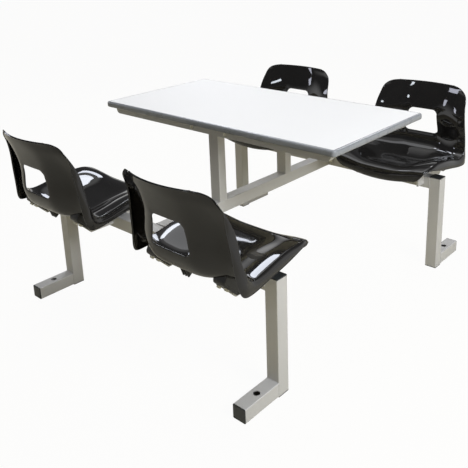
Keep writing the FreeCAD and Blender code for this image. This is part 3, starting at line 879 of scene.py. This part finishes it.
def capMesh(name, rise, matrix):
    # moulded cap: a rounded plate that closes a tube, and the plug that holds it
    plan, half = frameSizes, frameSizes["tube"] / 2
    corner, edge, bore = plan["corner"], plan["capRound"], half - plan["wall"]
    inner = corner * plan["innerCorner"]
    levels = [(-plan["plugDepth"], bore - plan["plugTaper"], inner),
              (-plan["plugLead"], bore, inner), (0, bore, inner), (0, half, corner),
              (rise - edge, half, corner)]
    for swing in np.radians(plan["capAngles"]):
        inset = edge * (1 - math.cos(swing))
        levels.append((rise - edge + edge * math.sin(swing), half - inset, corner))
    levels += [(rise + plan["capDome"] * up, half * width, corner * turn)
               for up, width, turn in plan["domeLevels"]]
    points, rings = [], []
    for height, reach, radius in levels:
        outline = roundedSquare(reach, radius)
        rings.append(list(range(len(points), len(points) + len(outline))))
        points += [matrix @ Vector((x, y, height)) for x, y in outline]
    return meshOf(name, points, ringFaces(rings) + [rings[0][::-1], rings[-1]])


def middleOf(node):
    low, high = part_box(node)
    return (Vector(low) + Vector(high)) / 2


def endOf(node, row, outer=True):
    # y of a node's end on this side of the table, or of its other end
    low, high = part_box(node)
    return (high if (row == "rear") == outer else low)[1]


for row, side in corners:
    place = row + "_" + side
    cap = place + "_upright_cap"
    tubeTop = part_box(place + "_upright")[1][2]
    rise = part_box(cap)[1][2] - tubeTop - frameSizes["capDome"]
    middle = middleOf(cap)
    upright = Matrix.Translation((middle.x, middle.y, tubeTop))
    mesh = capMesh("uprightCap", rise, upright)
    addPiece(cap + "_moulding", mesh, "black_cap", [cap], creases["cap"])
    cap = place + "_foot_cap"
    footEnd = endOf(place + "_foot", row)
    rise = abs(endOf(cap, row) - footEnd) - frameSizes["capDome"]
    middle = middleOf(place + "_foot")
    lying = Matrix.Rotation(math.radians(-90 * outwardOf(row)), 4, "X")
    lying = Matrix.Translation((middle.x, footEnd, middle.z)) @ lying
    mesh = capMesh("footCap", rise, lying)
    addPiece(cap + "_moulding", mesh, "black_cap", [cap], creases["cap"])
print("tube caps:", 2 * len(corners))

boardPlan = {
    "width": 10 * mm,           # the edging, across
    "corner": 14 * mm,
    "outerRound": 8 * mm,
    "innerRound": 0.4 * mm,
    "cornerSteps": 10,
    "roundSteps": 7,
}


def edgingTree():
    # a rounded band swept round the board
    low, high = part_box("table_edging")
    tree = ShapeTree("tableEdging", {
        "Length": high[0] - low[0], "Width": high[1] - low[1], "Thickness": high[2] - low[2],
        "Band": boardPlan["width"], "Corner": boardPlan["corner"],
        "Outer Round": boardPlan["outerRound"], "Inner Round": boardPlan["innerRound"],
        "Middle Y": (low[1] + high[1]) / 2, "Middle Z": (low[2] + high[2]) / 2,
        "Corner Steps": boardPlan["cornerSteps"], "Round Steps": boardPlan["roundSteps"]},
        finishes["grey_edging"])
    band = tree.size("Band")
    path = tree.node("GeometryNodeCurvePrimitiveQuadrilateral", values={
        "Width": tree.size("Length") - band, "Height": tree.size("Width") - band})
    path = tree.node("GeometryNodeFilletCurve", {"mode": "POLY"}, {
        "Curve": path, "Count": tree.size("Corner Steps"),
        "Radius": tree.size("Corner") - band * 0.5})
    section = tree.node("GeometryNodeCurvePrimitiveQuadrilateral", values={
        "Width": band, "Height": tree.size("Thickness")})
    spot = tree.node("GeometryNodeInputPosition")
    across = tree.node("ShaderNodeSeparateXYZ", values={0: spot}, output="X")
    outside = tree.node("ShaderNodeMath", {"operation": "GREATER_THAN"}, {0: across, 1: 0.0})
    inner = tree.size("Inner Round")
    radius = inner + (tree.size("Outer Round") - inner) * outside
    section = tree.node("GeometryNodeFilletCurve", {"mode": "POLY"}, {
        "Curve": section, "Count": tree.size("Round Steps"), "Radius": radius})
    swept = tree.node("GeometryNodeCurveToMesh", values={"Curve": path, "Profile Curve": section})
    return tree.close(tree.moved(swept, 0.0, tree.size("Middle Y"), tree.size("Middle Z")))


edgingMesh = edgingTree().build(meshOf("edgingCarrier", [(0, 0, 0)]))
addPiece("table_edging_band", edgingMesh, "grey_edging", ["table_edging"], creases["edging"])
print("table edging:", len(edgingMesh.polygons), "faces")

# Across is the head over its flats. Reach, the crown's two radii and its depth are shares, of the
# width and of the head's height
crownPlan = {"Crown Foot": 0.49, "Crown Top": 0.3, "Crown Depth": 0.18, "Round Sides": 32,
             "Shank Sides": 24}
boltPlans = {
    "hexBolt": {"Across": 13 * mm, "Reach": 0.577, "Head": 4.6 * mm, "Washer": 8.6 * mm,
                "Washer Depth": 0.9 * mm, "Shank": 8 * mm, "Shank Length": 20 * mm,
                "Sides": 6, **crownPlan},
    "railBolt": {"Across": 12.4 * mm, "Reach": 0.5, "Head": 3.4 * mm, "Washer": 6.5 * mm,
                 "Washer Depth": 0.8 * mm, "Shank": 8 * mm, "Shank Length": 28 * mm,
                 "Sides": 32, **crownPlan},
}


def boltTree(name):
    # a head with a crowned top, a washer under it and a shank, at each point along its aim
    tree = ShapeTree(name, boltPlans[name], finishes["zinc"])
    across, head = tree.size("Across"), tree.size("Head")
    seat = tree.size("Washer Depth")
    body = tree.cylinder(tree.size("Sides"), across * tree.size("Reach"), head, head * 0.5 + seat)
    crown = tree.node("GeometryNodeMeshCone", values={
        "Vertices": tree.size("Round Sides"), "Radius Bottom": across * tree.size("Crown Foot"),
        "Radius Top": across * tree.size("Crown Top"), "Depth": head * tree.size("Crown Depth")})
    crown = tree.moved(crown, 0.0, 0.0, head + seat)
    washer = tree.cylinder(tree.size("Round Sides"), tree.size("Washer"), seat, seat * 0.5)
    length = tree.size("Shank Length")
    shank = tree.cylinder(tree.size("Shank Sides"), tree.size("Shank") * 0.5, length, length * -0.5)
    bolt = tree.joined(body, crown, washer, shank)
    aim = tree.node("GeometryNodeInputNamedAttribute", {"data_type": "FLOAT_VECTOR"},
                    {"Name": "aim"})
    turn = tree.node("FunctionNodeAlignRotationToVector", {"axis": "Z"}, {"Vector": aim})
    return tree.close(tree.node("GeometryNodeInstanceOnPoints", values={
        "Points": tree.carrier, "Instance": bolt, "Rotation": turn}))


def aimedPoints(name, places):
    # loose points, each with the direction that its bolt head faces
    mesh = meshOf(name, [spot for spot, aim in places])
    aims = mesh.attributes.new("aim", "FLOAT_VECTOR", "POINT")
    aims.data.foreach_set("vector", [value for spot, aim in places for value in aim])
    return mesh


frameBoltPlan = {"flangeSpread": 38 * mm, "flangeHeight": 389 * mm, "railSpread": 90 * mm}
seatBoltPlaces, flangeBoltPlaces, railBoltPlaces = [], [], []
for row, side in corners:
    middleX, beamY = seatMiddle(row, side)
    turn, lean = outwardOf(row), seatBoltPlan["lean"]
    y = beamY + turn * seatBoltPlan["out"]
    for armSign in (-1, 1):
        for boltSign in (-1, 1):
            x = middleX + armSign * seatBoltPlan["arm"] + boltSign * seatBoltPlan["spread"]
            seatBoltPlaces.append(((x, y, seatBoltPlan["height"]), (0, turn * lean, -lean)))
for row in ("front", "rear"):
    outward = outwardOf(row)
    inner = endOf(row + "_spine_flange", row, outer=False)
    outer = endOf(row + "_rail", row)
    height = middleOf(row + "_rail").z
    for sign in (-1, 1):
        spot = (sign * frameBoltPlan["flangeSpread"], inner, frameBoltPlan["flangeHeight"])
        flangeBoltPlaces.append((spot, (0, -outward, 0)))
        spot = (sign * frameBoltPlan["railSpread"], outer, height)
        railBoltPlaces.append((spot, (0, outward, 0)))
hexBolt = boltTree("hexBolt")
for name, tree, places in (("seat_bolts", hexBolt, seatBoltPlaces),
                           ("spine_flange_bolts", hexBolt, flangeBoltPlaces),
                           ("rail_bolts", boltTree("railBolt"), railBoltPlaces)):
    made = tree.build(aimedPoints(name + "Points", places))
    addPiece(name + "_turned", made, "zinc", [name], creases["bolt"])
print("bolts:", len(seatBoltPlaces) + len(flangeBoltPlaces) + len(railBoltPlaces))

weldPlan = {"Bead": 1.5 * mm, "Step": 1.6 * mm, "Ripple": 0.22, "Quick Wave": 2.1,
            "Slow Wave": 0.37, "Slow Share": 0.4, "Sides": 10}


def weldTree():
    # a rippled bead along every edge of the carrier
    tree = ShapeTree("weldBead", weldPlan, finishes["frame_paint"])
    curve = tree.node("GeometryNodeMeshToCurve", values={0: tree.carrier})
    curve = tree.node("GeometryNodeResampleCurve", {"mode": "LENGTH"},
                      {"Curve": curve, "Length": tree.size("Step")})
    index = tree.node("GeometryNodeInputIndex")
    quick, slow = (tree.node("ShaderNodeMath", {"operation": "SINE"}, {0: index * tree.size(wave)})
                   for wave in ("Quick Wave", "Slow Wave"))
    share = tree.size("Slow Share")
    radius = 1 + (quick * (1 - share) + slow * share) * tree.size("Ripple")
    curve = tree.node("GeometryNodeSetCurveRadius", values={"Curve": curve, "Radius": radius})
    ring = tree.node("GeometryNodeCurvePrimitiveCircle",
                     values={"Resolution": tree.size("Sides"), "Radius": tree.size("Bead")})
    values = {"Curve": curve, "Profile Curve": ring, "Fill Caps": True}
    return tree.close(tree.node("GeometryNodeCurveToMesh", values=values))


def squareLoop(middle, halfFirst, halfSecond, axes):
    # a rectangle with cut corners in the plane of two axes
    first, second = (Vector([1.0 if "xyz"[k] == axis else 0.0 for k in range(3)]) for axis in axes)
    trim = frameSizes["corner"] * frameSizes["innerCorner"]
    spots = []
    for signFirst, signSecond in ((1, 1), (-1, 1), (-1, -1), (1, -1)):
        ends = [(halfFirst - trim, halfSecond), (halfFirst, halfSecond - trim)]
        if signFirst * signSecond > 0:
            ends.reverse()
        spots += [Vector(middle) + first * signFirst * a + second * signSecond * b for a, b in ends]
    return spots


def weldPaths():
    loops = []
    inset = frameSizes["weldInset"]
    half = frameSizes["tube"] / 2 - inset
    for row, side in corners:
        foot, beam = "%s_%s_foot" % (row, side), row + "_beam"
        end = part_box(beam)[1 if side == "right" else 0][0]
        y = middleOf("%s_%s_upright" % (row, side)).y
        loops.append(squareLoop((end, y, middleOf(beam).z), half, half, "yz"))
        middle = middleOf(foot)
        middle.y = endOf(foot, row, outer=False)
        loops.append(squareLoop(middle, half, half, "xz"))
    for row in ("front", "rear"):
        low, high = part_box(row + "_post")
        middle = middleOf(row + "_post")
        halfWide, halfDeep = (high[0] - low[0]) / 2 - inset, (high[1] - low[1]) / 2
        loops.append(squareLoop((middle.x, middle.y, low[2]), halfWide, halfDeep, "xy"))
        loops.append(squareLoop((0, endOf("spine", row), middleOf("spine").z), half, half, "xz"))
    return loops


def weldCarrier(loops):
    points, edges = [], []
    for loop in loops:
        first = len(points)
        points += loop
        edges += [(first + k, first + (k + 1) % len(loop)) for k in range(len(loop))]
    return meshOf("weldCarrier", points, edges=edges)


weldMesh = weldTree().build(weldCarrier(weldPaths()))
addPiece("weld_beads", weldMesh, "frame_paint", (), creases["weld"])
print("weld beads:", len(weldMesh.polygons), "faces")

cameraPlan = {
    "place": (1.698, -1.8962, 1.3819),
    "yaw": 41.842,
    "pitch": 16.258,
    "roll": -1.648,
    "focalPixels": 641.0,
    "principal": (252.0, 133.5),
    "framePixels": 468.0,
    "farthest": 60.0,
}


def addCamera():
    plan = cameraPlan
    data = bpy.data.cameras.new("studioCamera")
    camera = placed("studioCamera", data)
    half = plan["framePixels"] / 2
    data.lens = data.sensor_width * plan["focalPixels"] / plan["framePixels"]
    data.shift_x = (half - plan["principal"][0]) / plan["framePixels"]
    data.shift_y = (plan["principal"][1] - half) / plan["framePixels"]
    data.clip_end = plan["farthest"]
    turn = Matrix.Rotation(math.radians(plan["yaw"]), 4, "Z")
    tilt = Matrix.Rotation(math.radians(90 - plan["pitch"]), 4, "X")
    roll = Matrix.Rotation(math.radians(plan["roll"]), 4, "Z")
    camera.matrix_world = Matrix.Translation(plan["place"]) @ turn @ tilt @ roll
    scene.camera = camera


studioPlan = {
    "floorSpan": 30.0,
    "floorColour": (0.52, 0.47, 0.31),      # lights the undersides
    "glossFloor": (0.57, 0.545, 0.47),      # the floor as gloss shows it
    "floorWhite": 0.96,                     # what is left lets the shadow show
    "brightFrom": 1.1,                      # from this x on, gloss shows the floor turning white
    "brightTo": 1.9,
    "brightShare": 0.8,
    "skyColour": (1.0, 0.945, 0.8),
    "skyStrength": 0.33,
    "glossSky": (0.05, 0.05, 0.055),
    "horizon": (0.03, 0.24, 1.0, 0.06),     # two heights of a ray, and how white gloss shows each
    "zenith": (0.62, 0.8, 0.0, 0.75),
}
white = (1.0, 1.0, 1.0)


def addFloor():
    plan, span = studioPlan, studioPlan["floorSpan"]
    spots = [(-span, -span, 0), (span, -span, 0), (span, span, 0), (-span, span, 0)]
    mesh = meshOf("studioFloor", spots, [(0, 1, 2, 3)])
    floor = placed("studioFloor", mesh)
    material = bpy.data.materials.new("paleFloor")
    material.use_nodes = True
    maker = NodeMaker(material.node_tree)
    matte = maker.shade("ShaderNodeBsdfDiffuse", plan["floorColour"])
    dim = maker.shade("ShaderNodeBsdfDiffuse", plan["glossFloor"])
    glow = maker.shade("ShaderNodeEmission", white, Strength=1.0)
    place = maker.node("ShaderNodeTexCoord", output="Object")
    side = maker.node("ShaderNodeSeparateXYZ", values={0: place}, output="X")
    lit = maker.ease(side, plan["brightFrom"], plan["brightTo"], 0.0, plan["brightShare"])
    mirrored = maker.mixShader(lit, dim, glow)
    unseen = maker.mixShader(maker.ray("Is Glossy Ray"), matte, mirrored)
    mixed = maker.mixShader(maker.ray("Is Camera Ray") * plan["floorWhite"], unseen, glow)
    maker.node("ShaderNodeOutputMaterial", values={0: mixed})
    mesh.materials.append(material)


def addWorld():
    plan = studioPlan
    world = bpy.data.worlds.new("studioWorld")
    scene.world = world
    world.use_nodes = True
    maker = NodeMaker(world.node_tree)
    direction = maker.node("ShaderNodeTexCoord", output="Generated")
    height = maker.node("ShaderNodeSeparateXYZ", values={0: direction}, output="Z")
    glossy = maker.ray("Is Glossy Ray") + maker.ray("Is Transmission Ray")
    pale = maker.ease(height, *plan["horizon"]) + maker.ease(height, *plan["zenith"])
    plain = maker.shade("ShaderNodeBackground", plan["skyColour"], Strength=plan["skyStrength"])
    bright = maker.shade("ShaderNodeBackground", white, Strength=1.0)
    dark = maker.shade("ShaderNodeBackground", plan["glossSky"], Strength=1.0)
    mixed = maker.mixShader(maker.ray("Is Camera Ray") + glossy * pale,
                            maker.mixShader(glossy, plain, dark), bright)
    maker.node("ShaderNodeOutputWorld", values={0: mixed})


lampPlans = {
    # name: (place, aimed at, size, size the other way, watts, colour)
    "keyRight": ((3.2, -0.7, 2.5), (0, 0, 0.5), 1.0, 1.0, 120, (0.92, 0.95, 1.0)),
    "sideLow": ((3.7, 0.5, 1.15), (0.4, 0, 0.7), 0.9, 0.4, 20, (0.9, 0.94, 1.0)),
    "topSoft": ((-0.4, 0.6, 3.4), (0, 0, 0.4), 2.4, 1.6, 20, (0.94, 0.96, 1.0)),
    "backLeft": ((-2.4, 2.2, 2.0), (0, 0, 0.5), 0.9, 1.2, 12, (0.93, 0.95, 1.0)),
    "panGlow": ((-2.2, 1.3, 2.75), (0, -0.5, 0.45), 0.8, 0.6, 16, (0.86, 0.9, 1.0)),
    "seatGlint": ((-1.52, 0.56, 2.92), (0.17, -0.62, 0.47), 0.46, 0.38, 8, (0.88, 0.92, 1.0)),
    "sideGlint": ((-2.1, -0.65, 1.3), (0.47, 0.79, 0.68), 0.3, 0.34, 3, (0.84, 0.86, 1.0)),
    "rearSoft": ((0.3, 2.7, 2.7), (0, -0.4, 0.6), 1.5, 0.5, 22, (0.97, 0.98, 1.0)),
    "frontGlint": ((-0.3, -3.4, 2.3), (0, 0.5, 0.6), 0.42, 0.26, 7, (0.86, 0.92, 1.0)),
}


def addLamps():
    for name, (place, aim, wide, high, watts, colour) in lampPlans.items():
        data = bpy.data.lights.new(name, "AREA")
        data.shape = "RECTANGLE"
        data.size, data.size_y = wide, high
        data.energy = watts
        data.color = colour
        lamp = placed(name, data)
        lamp.location = place
        lamp.rotation_euler = (Vector(aim) - Vector(place)).to_track_quat("-Z", "Y").to_euler()
        lamp.visible_camera = False


addCamera()
addFloor()
addWorld()
addLamps()
scene.view_settings.view_transform = "Standard"
print("stage ready")
